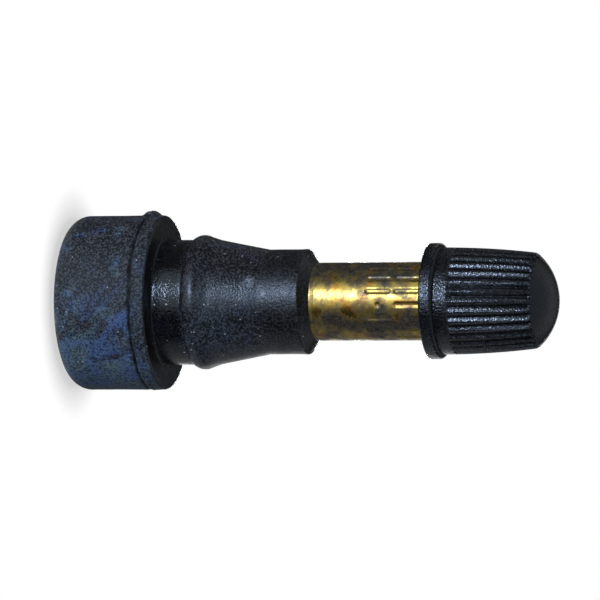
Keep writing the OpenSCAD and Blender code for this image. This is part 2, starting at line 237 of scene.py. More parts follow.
    # black skin, its grey speckle, the bloom over it in three hues, and the pale edge
    speckled = addNode(tree, "ShaderNodeMapRange", {
        "Value": grain.outputs["Fac"], "From Min": 0.47, "From Max": 0.61})
    speckShare = speckled.outputs["Result"]
    for part in (grainShare, share["sleeveGrain"], outsideCreaseShade):
        speckShare = addNode(tree, "ShaderNodeMath", {
            0: speckShare, 1: part}, operation="MULTIPLY").outputs["Value"]
    skin = addNode(tree, "ShaderNodeMix", {
        0: speckShare, 6: hexColour(look["black"]), 7: hexColour(look["grey"])}, data_type="RGBA")
    uneven = addNode(tree, "ShaderNodeMapRange", {
        "Value": grain.outputs["Fac"], "From Min": 0.32, "From Max": 0.68, "To Min": 0.1, "To Max": 1.7})
    bloomAndSideLightGrain = addNode(tree, "ShaderNodeMath", {
        0: bloomAndSideLightShare, 1: uneven.outputs["Result"]}, operation="MULTIPLY", use_clamp=True)
    tints = addNode(tree, "ShaderNodeSeparateColor", {"Color": grain.outputs["Color"]})
    violet = addNode(tree, "ShaderNodeMapRange", {
        "Value": tints.outputs["Blue"], "From Min": 0.42, "From Max": 0.62, "To Max": 0.8})
    blue = addNode(tree, "ShaderNodeMix", {
        0: violet.outputs["Result"], 6: hexColour(look["bloom"]), 7: hexColour(look["violetBloom"])},
        data_type="RGBA")
    hues = addNode(tree, "ShaderNodeSeparateColor", {"Color": patches.outputs["Color"]})
    greyer = addNode(tree, "ShaderNodeMapRange", {
        "Value": hues.outputs["Green"], "From Min": 0.4, "From Max": 0.6})
    bloom = addNode(tree, "ShaderNodeMix", {
        0: greyer.outputs["Result"], 6: blue.outputs[2], 7: hexColour(look["greyBloom"])}, data_type="RGBA")
    ground = addNode(tree, "ShaderNodeMix", {
        0: bloomAndSideLightGrain.outputs["Value"], 6: skin.outputs[2], 7: bloom.outputs[2]}, data_type="RGBA")
    edgeShare = addNode(tree, "ShaderNodeMath", {
        0: onEdge.outputs["Result"], 1: bloomAndSideLight.outputs["Result"]}, operation="MULTIPLY")
    colour = addNode(tree, "ShaderNodeMix", {
        0: edgeShare.outputs["Value"], 6: ground.outputs[2], 7: hexColour(look["pale"])}, data_type="RGBA")

    # scuffs, and specks of dust that are rarer where the grain shows
    for middle, reach in look["scuffs"].items():
        near = addNode(tree, "ShaderNodeMapping", {
            "Vector": inMm, "Location": middle, "Scale": reach}, vector_type="TEXTURE")
        away = addNode(tree, "ShaderNodeVectorMath", {0: near.outputs["Vector"]}, operation="LENGTH")
        faded = addNode(tree, "ShaderNodeMapRange", {
            "Value": away.outputs["Value"], "From Min": 1.0, "From Max": 0.1})
        broken = addNode(tree, "ShaderNodeMath", {
            0: faded.outputs["Result"], 1: uneven.outputs["Result"]}, operation="MULTIPLY", use_clamp=True)
        colour = addNode(tree, "ShaderNodeMix", {
            0: broken.outputs["Value"], 6: colour.outputs[2], 7: hexColour(look["scuff"])}, data_type="RGBA")
    specks = addNode(tree, "ShaderNodeTexVoronoi", {
        "Vector": inMm, "Scale": 1 / look["speckMm"], "Randomness": 1.0})
    tiny = addNode(tree, "ShaderNodeMapRange", {
        "Value": specks.outputs["Distance"], "From Min": 0.22, "From Max": 0.12})
    rarer = addNode(tree, "ShaderNodeMath", {
        0: grainShare, 1: look["dustGrain"], 2: look["dustAbove"]}, operation="MULTIPLY_ADD")
    few = addNode(tree, "ShaderNodeMath", {
        0: specks.outputs["Color"], 1: rarer.outputs["Value"]}, operation="GREATER_THAN")
    dusty = addNode(tree, "ShaderNodeMath", {
        0: tiny.outputs["Result"], 1: few.outputs["Value"]}, operation="MULTIPLY")
    dusted = addNode(tree, "ShaderNodeMix", {
        0: dusty.outputs["Value"], 6: colour.outputs[2], 7: hexColour(look["dust"])}, data_type="RGBA")
    tree.links.new(dusted.outputs[2], shader.inputs["Base Color"])

    # satin skin, glossier on the neck and dull under the bloom
    satin = addNode(tree, "ShaderNodeMapRange", {
        "Value": patches.outputs["Fac"], "From Min": 0.35, "From Max": 0.65,
        "To Min": look["roughLow"], "To Max": look["roughHigh"]})
    smoother = addNode(tree, "ShaderNodeMath", {
        0: satin.outputs["Result"], 1: share["neckGloss"]}, operation="MULTIPLY")
    rough = addNode(tree, "ShaderNodeMix", {
        0: share["flange"], 2: smoother.outputs["Value"], 3: look["bloomRough"]}, data_type="FLOAT")
    tree.links.new(rough.outputs[0], shader.inputs["Roughness"])
    hollows = addNode(tree, "ShaderNodeBump", {
        "Height": patches.outputs["Fac"], "Strength": 0.7, "Distance": look["hollowMm"] * mm})
    pitted = addNode(tree, "ShaderNodeMath", {0: grainShare, 1: look["neckPits"]}, operation="MAXIMUM")
    bump = addNode(tree, "ShaderNodeBump", {
        "Height": grain.outputs["Fac"], "Strength": pitted.outputs["Value"],
        "Distance": look["grainDepthMm"] * mm, "Normal": hollows.outputs["Normal"]})
    tree.links.new(bump.outputs["Normal"], shader.inputs["Normal"])
    shader.inputs["IOR"].default_value = look["ior"]
    shader.inputs["Diffuse Roughness"].default_value = 1.0
    shader.inputs["Specular Tint"].default_value = hexColour(look["shine"])
    return material


def makeTurnedBrass():
    # bar brass off a lathe: bright yellow, fine rings from the tool, blotches of tarnish, and painted dark
    # reflection on two sides
    look = {
        "clean": "#ad9a50", "warm": "#a87636", "tarnishAndDarkReflection": "#0e0e10", "paleTarnishAndReflection": "#5a564d",
        "ringMm": 0.16, "ringSquash": (0.05, 0.05, 1), "ringDepthMm": 0.02, "blotchMm": 1.5, "dentMm": 0.06,
        "grainMm": 0.2, "grainShare": 0.35, "capZ": 36.8, "capFade": 1,
        # painted dark reflection on two sides, its painted paler rim, and one spot where it and the tarnish
        # are thinner
        "darkReflectionShare": 0.18, "darkReflectionMid": -0.57, "darkReflectionFrom": 1.3, "darkReflectionTo": 3.0,
        "paleRimFrom": 4.2, "paleRimTo": 5.5, "paleRimShare": 0.4,
        "paleSpot": (3.87, -0.2, 27.0), "spotMm": 1.4, "spotCoreMm": 0.3, "spotShare": -0.11,
        "roughLow": 0.25, "roughHigh": 0.46, "tarnishAndReflectionMetal": 0.15,
    }
    material, tree, shader, inMm = startMaterial("turnedBrass")
    squashed = addNode(tree, "ShaderNodeMapping", {"Vector": inMm, "Scale": look["ringSquash"]})
    rings = addNode(tree, "ShaderNodeTexNoise", {
        "Vector": squashed.outputs["Vector"], "Scale": 1 / look["ringMm"], "Detail": 2})
    blotches = addNode(tree, "ShaderNodeTexNoise", {
        "Vector": inMm, "Scale": 1 / look["blotchMm"], "Detail": 5, "Roughness": 0.6})
    hues = addNode(tree, "ShaderNodeSeparateColor", {"Color": blotches.outputs["Color"]})
    warmer = addNode(tree, "ShaderNodeMapRange", {
        "Value": hues.outputs["Green"], "From Min": 0.46, "From Max": 0.62, "To Max": 0.8})
    metal = addNode(tree, "ShaderNodeMix", {
        0: warmer.outputs["Result"], 6: hexColour(look["clean"]), 7: hexColour(look["warm"])},
        data_type="RGBA")
    # grain drawn coarser than the real one
    grain = addNode(tree, "ShaderNodeTexNoise", {
        "Vector": inMm, "Scale": 1 / look["grainMm"], "Detail": 2, "Roughness": 0.8})

    # painted dark reflection along two sides, added to the tarnish blotches, painted paler at the sides'
    # outermost as a painted rim reflection; both thinner in one spot; no painted dark reflection under the
    # cap
    speckled = addNode(tree, "ShaderNodeMath", {
        0: grain.outputs["Fac"], 1: look["grainShare"], 2: blotches.outputs["Fac"]}, operation="MULTIPLY_ADD")
    along = addNode(tree, "ShaderNodeSeparateXYZ", {"Vector": inMm}).outputs
    across = addNode(tree, "ShaderNodeMath", {0: along["X"], 1: along["Y"]}, operation="ADD")
    offMiddle = addNode(tree, "ShaderNodeMath", {
        0: across.outputs["Value"], 1: look["darkReflectionMid"]}, operation="SUBTRACT")
    sideways = addNode(tree, "ShaderNodeMath", {0: offMiddle.outputs["Value"]}, operation="ABSOLUTE")
    darkReflection = addNode(tree, "ShaderNodeMapRange", {
        "Value": sideways.outputs["Value"], "From Min": look["darkReflectionFrom"], "From Max": look["darkReflectionTo"],
        "To Min": 0.0, "To Max": look["darkReflectionShare"]})
    # painted paler rim at the outermost of the sides, a painted rim reflection
    paleRim = addNode(tree, "ShaderNodeMapRange", {
        "Value": sideways.outputs["Value"], "From Min": look["paleRimFrom"], "From Max": look["paleRimTo"],
        "To Min": 1.0, "To Max": look["paleRimShare"]})
    underCap = addNode(tree, "ShaderNodeMapRange", {
        "Value": along["Z"], "From Min": look["capZ"], "From Max": look["capZ"] + look["capFade"],
        "To Min": 1.0, "To Max": 0.0})
    openDarkReflection = addNode(tree, "ShaderNodeMath", {
        0: darkReflection.outputs["Result"], 1: underCap.outputs["Result"]}, operation="MULTIPLY")
    dulled = addNode(tree, "ShaderNodeMath", {
        0: openDarkReflection.outputs["Value"], 1: paleRim.outputs["Result"], 2: speckled.outputs["Value"]},
        operation="MULTIPLY_ADD")
    near = addNode(tree, "ShaderNodeVectorMath", {0: inMm, 1: look["paleSpot"]}, operation="DISTANCE")
    paleSpotShare = addNode(tree, "ShaderNodeMapRange", {
        "Value": near.outputs["Value"], "From Min": look["spotMm"], "From Max": look["spotCoreMm"],
        "To Max": look["spotShare"]})
    dulledSpotted = addNode(tree, "ShaderNodeMath", {
        0: dulled.outputs["Value"], 1: paleSpotShare.outputs["Result"]}, operation="ADD")
    # share of tarnish and of painted dark reflection in the colour, with less metal where it lies
    tarnishAndReflectionShare = addNode(tree, "ShaderNodeMapRange", {
        "Value": dulledSpotted.outputs["Value"], "From Min": 0.63, "From Max": 0.85, "To Max": 0.97})
    paler = addNode(tree, "ShaderNodeMapRange", {
        "Value": grain.outputs["Fac"], "From Min": 0.42, "From Max": 0.62})
    tarnishAndDarkReflection = addNode(tree, "ShaderNodeMix", {
        0: paler.outputs["Result"], 6: hexColour(look["tarnishAndDarkReflection"]), 7: hexColour(look["paleTarnishAndReflection"])},
        data_type="RGBA")
    colour = addNode(tree, "ShaderNodeMix", {
        0: tarnishAndReflectionShare.outputs["Result"], 6: metal.outputs[2], 7: tarnishAndDarkReflection.outputs[2]}, data_type="RGBA")
    tree.links.new(colour.outputs[2], shader.inputs["Base Color"])
    bare = addNode(tree, "ShaderNodeMapRange", {
        "Value": tarnishAndReflectionShare.outputs["Result"], "To Min": 1.0, "To Max": look["tarnishAndReflectionMetal"]})
    tree.links.new(bare.outputs["Result"], shader.inputs["Metallic"])
    rough = addNode(tree, "ShaderNodeMapRange", {
        "Value": blotches.outputs["Fac"], "From Min": 0.35, "From Max": 0.7,
        "To Min": look["roughLow"], "To Max": look["roughHigh"]})
    tree.links.new(rough.outputs["Result"], shader.inputs["Roughness"])
    dents = addNode(tree, "ShaderNodeBump", {
        "Height": blotches.outputs["Fac"], "Strength": 0.6, "Distance": look["dentMm"] * mm})
    bump = addNode(tree, "ShaderNodeBump", {
        "Height": rings.outputs["Fac"], "Strength": 0.35, "Distance": look["ringDepthMm"] * mm,
        "Normal": dents.outputs["Normal"]})
    tree.links.new(bump.outputs["Normal"], shader.inputs["Normal"])
    return material


def makeMouldedNylon():
    # black nylon from a spark-eroded mould: a satin, faintly pebbled skin, paler where it is rubbed
    look = {
        "black": "#070708", "rubbed": "#24262b", "shine": "#d2e4fa", "pebbleMm": 0.2, "pebbleDepthMm": 0.07,
        "rubMm": 1.6, "roughLow": 0.1, "roughHigh": 0.3, "ior": 1.65,
        # level of reflection: a painted stronger shine on the flute flanks, and painted shade in their floors
        "plainShine": 0.45, "flankShine": 0.85, "flankDepth": 0.05,
        "valleyShare": 0.12, "valleyFrom": 0.12, "valleyTo": 0.2, "domeShine": 0.5, "domeFade": 0.1,
    }
    material, tree, shader, inMm = startMaterial("mouldedNylon")
    pebble = addNode(tree, "ShaderNodeTexNoise", {
        "Vector": inMm, "Scale": 1 / look["pebbleMm"], "Detail": 1})  # drawn coarser than the real skin
    rubs = addNode(tree, "ShaderNodeTexNoise", {
        "Vector": inMm, "Scale": 1 / look["rubMm"], "Detail": 5, "Roughness": 0.65})
    worn = addNode(tree, "ShaderNodeMapRange", {
        "Value": rubs.outputs["Fac"], "From Min": 0.45, "From Max": 0.75, "To Max": 0.5})
    colour = addNode(tree, "ShaderNodeMix", {
        0: worn.outputs["Result"], 6: hexColour(look["black"]), 7: hexColour(look["rubbed"])},
        data_type="RGBA")
    tree.links.new(colour.outputs[2], shader.inputs["Base Color"])
    rough = addNode(tree, "ShaderNodeMapRange", {
        "Value": pebble.outputs["Fac"], "From Min": 0.62, "From Max": 0.4,
        "To Min": look["roughLow"], "To Max": look["roughHigh"]})
    tree.links.new(rough.outputs["Result"], shader.inputs["Roughness"])
    bump = addNode(tree, "ShaderNodeBump", {
        "Height": pebble.outputs["Fac"], "Strength": 1.0, "Distance": look["pebbleDepthMm"] * mm})
    tree.links.new(bump.outputs["Normal"], shader.inputs["Normal"])

    # depth below the swelling side of the cap: the flanks of the flutes get a higher reflection level, a
    # painted stronger shine, and their floors a lower one, painted shade
    # the exported model leaves this level out and shines evenly
    along, radius = placeOnStem(tree, inMm)
    up = addNode(tree, "ShaderNodeMapRange", {
        "Value": along["Z"], "From Min": cap["bodyZ"], "From Max": cap["domeZ"]})
    down = addNode(tree, "ShaderNodeMath", {0: 1.0, 1: up.outputs["Result"]}, operation="SUBTRACT")
    bow = addNode(tree, "ShaderNodeMath", {
        0: up.outputs["Result"], 1: down.outputs["Value"]}, operation="MULTIPLY")
    cone = addNode(tree, "ShaderNodeMapRange", {
        "Value": up.outputs["Result"], "To Min": cap["bodyR"], "To Max": cap["tipR"]})
    side = addNode(tree, "ShaderNodeMath", {
        0: bow.outputs["Value"], 1: 4 * cap["swell"], 2: cone.outputs["Result"]}, operation="MULTIPLY_ADD")
    depth = addNode(tree, "ShaderNodeMath", {0: side.outputs["Value"], 1: radius}, operation="SUBTRACT")
    flank = addNode(tree, "ShaderNodeMapRange", {
        "Value": depth.outputs["Value"], "From Min": 0.0, "From Max": look["flankDepth"],
        "To Min": look["plainShine"], "To Max": look["flankShine"]})
    valleyShade = addNode(tree, "ShaderNodeMapRange", {
        "Value": depth.outputs["Value"], "From Min": look["valleyFrom"], "From Max": look["valleyTo"],
        "To Min": 1.0, "To Max": look["valleyShare"]})
    flutedShadeAndShine = addNode(tree, "ShaderNodeMath", {
        0: flank.outputs["Result"], 1: valleyShade.outputs["Result"]}, operation="MULTIPLY")
    onDome = addNode(tree, "ShaderNodeMapRange", {
        "Value": along["Z"], "From Min": cap["domeZ"] - look["domeFade"],
        "From Max": cap["domeZ"] + look["domeFade"], "To Max": look["domeShine"]})
    shine = addNode(tree, "ShaderNodeMath", {
        0: flutedShadeAndShine.outputs["Value"], 1: onDome.outputs["Result"]}, operation="MAXIMUM")
    tree.links.new(shine.outputs["Value"], shader.inputs["Specular IOR Level"])
    shader.inputs["IOR"].default_value = look["ior"]
    shader.inputs["Specular Tint"].default_value = hexColour(look["shine"])
    return material


plainFinishes = {
    # free-cutting brass off a small lathe: clean and yellow, faintly mottled
    "coreBrass": {
        "light": "#cfa550", "dark": "#a67c34", "metallic": 1.0, "roughLow": 0.25, "roughHigh": 0.4,
        "grainMm": 0.1, "depthMm": 0.01},
    # nitrile rubber moulded in discs: even, matt and nearly black
    "sealRubber": {
        "light": "#26272a", "dark": "#17181a", "metallic": 0.0, "roughLow": 0.55, "roughHigh": 0.75,
        "grainMm": 0.12, "depthMm": 0.02},
    # hard polymer pressed to a ring: dull brick red
    "redSeal": {
        "light": "#9c3a30", "dark": "#7b2620", "metallic": 0.0, "roughLow": 0.45, "roughHigh": 0.6,
        "grainMm": 0.12, "depthMm": 0.02},
    # spring wire drawn through a die: pale grey and smooth
    "springSteel": {
        "light": "#b9babb", "dark": "#8d8f92", "metallic": 1.0, "roughLow": 0.22, "roughHigh": 0.38,
        "grainMm": 0.06, "depthMm": 0.006},
}
mottleGrains = 6  # grains across one patch of mottling


def makePlainFinish(name):
    look = plainFinishes[name]
    material, tree, shader, inMm = startMaterial(name)
    mottle = addNode(tree, "ShaderNodeTexNoise", {
        "Vector": inMm, "Scale": 1 / (mottleGrains * look["grainMm"]), "Detail": 4, "Roughness": 0.6})
    grain = addNode(tree, "ShaderNodeTexNoise", {"Vector": inMm, "Scale": 1 / look["grainMm"], "Detail": 2})
    colour = addNode(tree, "ShaderNodeMix", {
        0: mottle.outputs["Fac"], 6: hexColour(look["dark"]), 7: hexColour(look["light"])}, data_type="RGBA")
    tree.links.new(colour.outputs[2], shader.inputs["Base Color"])
    rough = addNode(tree, "ShaderNodeMapRange", {
        "Value": mottle.outputs["Fac"], "From Min": 0.3, "From Max": 0.7,
        "To Min": look["roughLow"], "To Max": look["roughHigh"]})
    tree.links.new(rough.outputs["Result"], shader.inputs["Roughness"])
    bump = addNode(tree, "ShaderNodeBump", {
        "Height": grain.outputs["Fac"], "Strength": 0.3, "Distance": look["depthMm"] * mm})
    tree.links.new(bump.outputs["Normal"], shader.inputs["Normal"])
    shader.inputs["Metallic"].default_value = look["metallic"]
    return material


coreBrass, sealRubber, redSeal, springSteel = [makePlainFinish(name) for name in plainFinishes]
print("plain finishes made:", ", ".join(plainFinishes))


# Rubber body

rubber = {
    "flangeR": 8.72, "seatZ": 9.68, "baseRound": 1.9, "seatRound": 0.28, "neckR": 6.24, "neckRoot": 0.25,
    "bulgeR": 6.705, "bulgeZ": 13.676, "bulgeRound": 1.3, "bulgeFootDeg": 50.03, "bulgeLeanDeg": 28,
    "taperR": 6.21, "taperZ": 15.276, "sleeveR": 5.21, "sleeveZ": 20.376,
    "lipR": 5.25, "lipHeight": 0.7, "lipRound": 0.2, "endZ": 24.436, "endRise": 0.76,
    "ventR": 2.6, "ventChamfer": 0.6, "steps": 288, "sharpDeg": 40,
    # rows of points on the rounds, and spacing of points on the straight runs
    "baseRows": 14, "seatRows": 6, "rootRows": 5, "bulgeRows": 16, "lipRows": 6, "sideGap": 0.36,
    "partingGap": 0.055, "stripGap": 0.14, "seatGap": 0.4, "neckGap": 0.3, "taperGap": 0.34, "endGap": 0.25,
    # unevenness of the whole skin, which leaves the base and the inside alone
    "skinR": 5.0, "baseZ": 0.02, "swayDepth": 0.022, "swayMm": 3.1, "pitDepth": 0.008, "pitMm": 0.7,
    # wavy parting line round the flange, with a raised lip and a ragged strip above it
    "sideR": 8.4, "sideTop": 0.05, "partingZ": 8.1, "partingHalf": 0.18, "partingReach": 0.5,
    "partingDepth": 0.34, "depthMean": 0.75, "depthSway": 0.4, "depthWaves": 9,
    "lineSways": ((0.12, 3.1), (0.06, 11)), "ridgeHeight": 0.07, "ridgeAbove": 0.34, "ridgeHalf": 0.16,
    "raggedDepth": 0.08, "raggedMm": 0.6, "raggedBias": 0.2, "raggedRise": 0.2,
    "raggedFrom": 0.8, "raggedTo": 0.2,
    # nub of flash on the parting line
    "flashDeg": 225, "flashHeight": 0.5, "flashReach": 0.95, "flashAbove": 0.1, "flashPower": 0.8,
}
# the stem's own sizes stand here because the rubber is moulded round its root
stem = {
    "r": 3.875, "mouthZ": 46.6, "mouthOut": 0.5, "mouthIn": 0.25, "steps": 256, "sharpDeg": 30,
    "footZ": 1.6, "footR": 4.825, "footHeight": 1.3,
    "ribR": 4.375, "ribHeight": 0.7, "ribGap": 1.0, "ribs": 3, "bond": 0.02,
    "boreR": 2.68, "boreFloorZ": 39.1, "chamberR": 2.35, "coneTopZ": 37.81,
    "passageR": 1.95, "coneLowZ": 35.81, "passageLowZ": 28.43, "airR": 1.5, "airTopZ": 27.98,
    "buriedZ": 24, "bareZ": 24.2, "bareGap": 0.085, "ringZ": 25.5, "ringDepth": 0.03, "ringHalf": 0.09,
}


def stemRoot(gap):
    # foot and ribs that hold the stem in the rubber, with this much room round them
    s = stem
    foot = s["footZ"] + s["footHeight"]
    points = [(s["footR"] + gap, s["footZ"] - gap), (s["footR"] + gap, foot + gap)]
    points += [(s["r"] + gap, foot + gap)]
    for i in range(s["ribs"]):
        low = foot + s["ribGap"] + i * (s["ribHeight"] + s["ribGap"])
        high = low + s["ribHeight"]
        points += [(s["r"] + gap, low - gap), (s["ribR"] + gap, low - gap),
                   (s["ribR"] + gap, high + gap), (s["r"] + gap, high + gap)]
    return points


def rubberProfile():
    s = rubber
    sideZs = [s["baseRound"], s["partingZ"] - s["partingReach"], s["partingZ"] + s["partingReach"],
              s["seatZ"] - s["seatRound"]]
    skin = [(s["ventR"] + s["ventChamfer"], 0)]
    skin += arcPoints(s["flangeR"] - s["baseRound"], s["baseRound"], s["baseRound"], -90, 0, s["baseRows"])
    for low, high, gap in zip(sideZs, sideZs[1:], (s["sideGap"], s["partingGap"], s["stripGap"])):
        skin += fillIn([(s["flangeR"], low), (s["flangeR"], high)], gap)[1:]
    seatIn = (s["flangeR"] - s["seatRound"], s["seatZ"] - s["seatRound"])
    skin += arcPoints(*seatIn, s["seatRound"], 0, 90, s["seatRows"])[1:]
    rootIn = (s["neckR"] + s["neckRoot"], s["seatZ"] + s["neckRoot"])
    skin += fillIn([skin[-1], (rootIn[0], s["seatZ"])], s["seatGap"])[1:]
    skin += arcPoints(*rootIn, s["neckRoot"], -90, -180, s["rootRows"])[1:]
    bulgeIn = (s["bulgeR"] - s["bulgeRound"], s["bulgeZ"])
    bulge = arcPoints(*bulgeIn, s["bulgeRound"], -s["bulgeFootDeg"], s["bulgeLeanDeg"], s["bulgeRows"])
    skin += fillIn([skin[-1], bulge[0]], s["neckGap"])[1:]
    skin += bulge[1:]
    skin += fillIn([skin[-1], (s["taperR"], s["taperZ"]), (s["sleeveR"], s["sleeveZ"])], s["taperGap"])[1:]
    skin += fillIn([skin[-1], (s["sleeveR"], s["endZ"] - s["lipHeight"])], s["taperGap"])[1:]
    lipIn = (s["lipR"] - s["lipRound"], s["endZ"] - s["lipRound"])
    skin += arcPoints(*lipIn, s["lipRound"], 0, 90, s["lipRows"])
    skin += fillIn([skin[-1], (stem["r"] + stem["bond"], s["endZ"] + s["endRise"])], s["endGap"])[1:]
    inside = list(reversed(stemRoot(stem["bond"])))
    inside += [(s["ventR"], stem["footZ"] - stem["bond"]), (s["ventR"], s["ventChamfer"])]
    return skin + inside


def makeRubberBody():
    s = rubber
    bm = turnProfile(rubberProfile(), s["steps"], True)
    flashAngle = math.radians(s["flashDeg"])
    for vert in bm.verts:
        r, angle, z = polar(vert)
        if r < s["skinR"] or z < s["baseZ"]:
            continue
        wave = Vector((math.cos(angle), math.sin(angle), 0))
        uneven = s["swayDepth"] * noise.noise(vert.co / (s["swayMm"] * mm))
        uneven += s["pitDepth"] * noise.noise(vert.co / (s["pitMm"] * mm))
        if z < s["seatZ"] - s["sideTop"] and r > s["sideR"]:
            line = s["partingZ"] + sum(sway * noise.noise(wave * often) for sway, often in s["lineSways"])
            depth = s["depthMean"] + s["depthSway"] * noise.noise(wave * s["depthWaves"])
            uneven -= s["partingDepth"] * depth * math.exp(-((z - line) / s["partingHalf"]) ** 2)
            uneven += s["ridgeHeight"] * math.exp(-((z - line - s["ridgeAbove"]) / s["ridgeHalf"]) ** 2)
            ragged = smoothStep(line, line + s["raggedRise"], z)
            ragged *= 1 - smoothStep(s["seatZ"] - s["raggedFrom"], s["seatZ"] - s["raggedTo"], z)
            crumbs = noise.noise(vert.co / (s["raggedMm"] * mm)) - s["raggedBias"]
            uneven += ragged * s["raggedDepth"] * crumbs
            side = (angle - flashAngle + math.pi) % math.tau - math.pi
            reach = math.hypot(side * r, z - line - s["flashAbove"]) / s["flashReach"]
            if reach < 1:
                uneven = uneven * reach + s["flashHeight"] * (1 - reach ** 2) ** s["flashPower"]
        setPolar(vert, r + uneven, angle, z)
    finishPiece(bm, "rubberBody", "rubber_body", "stem", mouldedRubber, s["sharpDeg"])


mouldedRubber = makeMouldedRubber()
makeRubberBody()


# Brass stem

thread = {"pitch": 0.79375, "depth": 0.45, "lowZ": 37.5, "fade": 0.5, "rows": 12}
coreThread = {"pitch": 0.7056, "depth": 0.26, "bite": 0.18, "fade": 0.5, "rows": 9, "boreRows": 6}
threadFlat = 0.15  # share of a thread's flank that is flattened at the crest, and again at the root
marks = {
    "rowsZ": (32.2, 35.1), "length": 2.1, "width": 0.42, "depth": 0.1, "stepDeg": 20, "dotGap": 1.6,
    "rowShift": 7, "kindStep": 3, "kinds": 5, "flatShare": 0.25, "edgeShare": 0.75,
}


def threadCut(angle, z, pitch):
    # 0 on the crest and 1 in the root of a right-handed thread
    turn = (z / pitch - angle / math.tau) % 1
    return min(1, max(0, (1 - abs(2 * turn - 1)) * (1 + 2 * threadFlat) - threadFlat))


def markDepth(angle, z):
    # two rolled rings of tally strokes and dots, which say nothing
    step = math.radians(marks["stepDeg"])
    row = 0 if z < sum(marks["rowsZ"]) / 2 else 1
    k = round(angle / step)
    side = abs(angle - k * step) * stem["r"]
    k = (k + marks["rowShift"] * row) % round(360 / marks["stepDeg"])
    kind = (k * k + marks["kindStep"] * k) % marks["kinds"]
    offset = abs(z - marks["rowsZ"][row])
    if kind in (0, 3):  # a stroke
        away = math.hypot(side, max(0, offset - marks["length"] / 2))
    elif kind == 1:  # two dots
        away = math.hypot(side, offset - marks["dotGap"] / 2)
    else:  # one dot
        away = math.hypot(side, offset)
    faded = smoothStep(marks["width"] * marks["flatShare"], marks["width"] * marks["edgeShare"], away)
    return marks["depth"] * (1 - faded)


def makeBrassStem():
    s = stem
    plainTopZ = thread["lowZ"] - thread["fade"]
    boreTopZ = s["mouthZ"] - s["mouthIn"]
    skin = stemRoot(0)
    skin += fillIn([(s["r"], s["bareZ"]), (s["r"], plainTopZ)], s["bareGap"])
    mouth = [(s["r"], s["mouthZ"] - s["mouthOut"]), (s["r"] - s["mouthOut"], s["mouthZ"])]
    skin += fillIn([skin[-1]] + mouth, thread["pitch"] / thread["rows"])[1:]
    skin += [(s["boreR"] + s["mouthIn"], s["mouthZ"])]
    bore = [(s["boreR"], boreTopZ), (s["boreR"], s["boreFloorZ"])]
    skin += fillIn(bore, coreThread["pitch"] / coreThread["boreRows"])
    skin += [(s["chamberR"], s["boreFloorZ"]), (s["chamberR"], s["coneTopZ"]), (s["passageR"], s["coneLowZ"])]
    skin += [(s["passageR"], s["passageLowZ"]), (s["airR"], s["airTopZ"]), (s["airR"], s["footZ"])]
    bm = turnProfile(skin, s["steps"], True)
    for vert in bm.verts:
        r, angle, z = polar(vert)
        if abs(r - s["boreR"]) < touchGap and z > s["boreFloorZ"] - touchGap:
            bite = threadCut(angle, z, coreThread["pitch"]) * coreThread["bite"]
            bite *= smoothStep(s["boreFloorZ"], s["boreFloorZ"] + coreThread["fade"], z)
            bite *= 1 - smoothStep(boreTopZ - coreThread["fade"], boreTopZ, z)
            setPolar(vert, r - bite, angle, z)
        if r < s["r"] - s["mouthOut"] - touchGap or z < s["buriedZ"]:
            continue
        cut = threadCut(angle, z, thread["pitch"]) * thread["depth"]
        cut *= smoothStep(plainTopZ, thread["lowZ"] + thread["fade"], z)
        if z < plainTopZ:
            cut += markDepth(angle, z)
            cut += s["ringDepth"] * math.exp(-((z - s["ringZ"]) / s["ringHalf"]) ** 2)
        setPolar(vert, min(r, s["r"] - cut), angle, z)
    finishPiece(bm, "brassStem", "brass_stem", "stem", turnedBrass, s["sharpDeg"])


turnedBrass = makeTurnedBrass()
makeBrassStem()


# Core plug

plug = {
    "r": 2.6, "lowZ": 39.7, "height": 4.2, "boreR": 1.6, "pinHoleR": 0.55, "edge": 0.12,
    "bridgeHeight": 1.0, "bridgeWidth": 2.0, "windowHeight": 1.0, "cutStretch": 1.2,
    "steps": 128, "sharpDeg": 32,
}


def cutAway(bm, cutter):
    # what is left of a shape when the cutter is taken out of it
    made = []
    for name, shape in (("shape", bm), ("cutter", cutter)):
        bmesh.ops.recalc_face_normals(shape, faces=shape.faces)
        made.append(addMesh(name, shape))
    cut = made[0].modifiers.new("cut", "BOOLEAN")
    cut.operation = "DIFFERENCE"
    cut.solver = "EXACT"
    cut.object = made[1]
    left = bmesh.new()
    left.from_object(made[0], bpy.context.evaluated_depsgraph_get())
    for thing in made:
        bpy.data.objects.remove(thing)
    return left


def makeCorePlug():
    s = plug
    topZ = s["lowZ"] + s["height"]
    bridgeZ = topZ - s["bridgeHeight"]
    windowZ = bridgeZ - s["windowHeight"]
    threaded = [(s["r"], s["lowZ"] + s["edge"]), (s["r"], topZ - s["edge"])]
    skin = [(s["boreR"], s["lowZ"]), (s["r"] - s["edge"], s["lowZ"])]
    skin += fillIn(threaded, coreThread["pitch"] / coreThread["rows"])
    skin += [(s["r"] - s["edge"], topZ), (s["pinHoleR"], topZ)]
    skin += [(s["pinHoleR"], bridgeZ), (s["boreR"], bridgeZ)]
    bm = turnProfile(skin, s["steps"], True)
    for vert in bm.verts:
        r, angle, z = polar(vert)
        if r > s["r"] - s["edge"] - touchGap:
            cut = threadCut(angle, z, coreThread["pitch"]) * coreThread["depth"]
            setPolar(vert, min(r, s["r"] - cut), angle, z)
    flats = bmesh.new()
    for side in (1, -1):
        block = bmesh.ops.create_cube(flats, size=s["r"] * 2 * mm)["verts"]
        away = Vector((0, side * (s["bridgeWidth"] / 2 + s["r"]), windowZ + s["r"]))
        bmesh.ops.scale(flats, vec=(s["cutStretch"], 1, 1), verts=block)
        bmesh.ops.translate(flats, vec=away * mm, verts=block)
    bm = cutAway(bm, flats)
    finishPiece(bm, "corePlug", "core_plug", "stem", coreBrass, s["sharpDeg"])


makeCorePlug()


# Cap

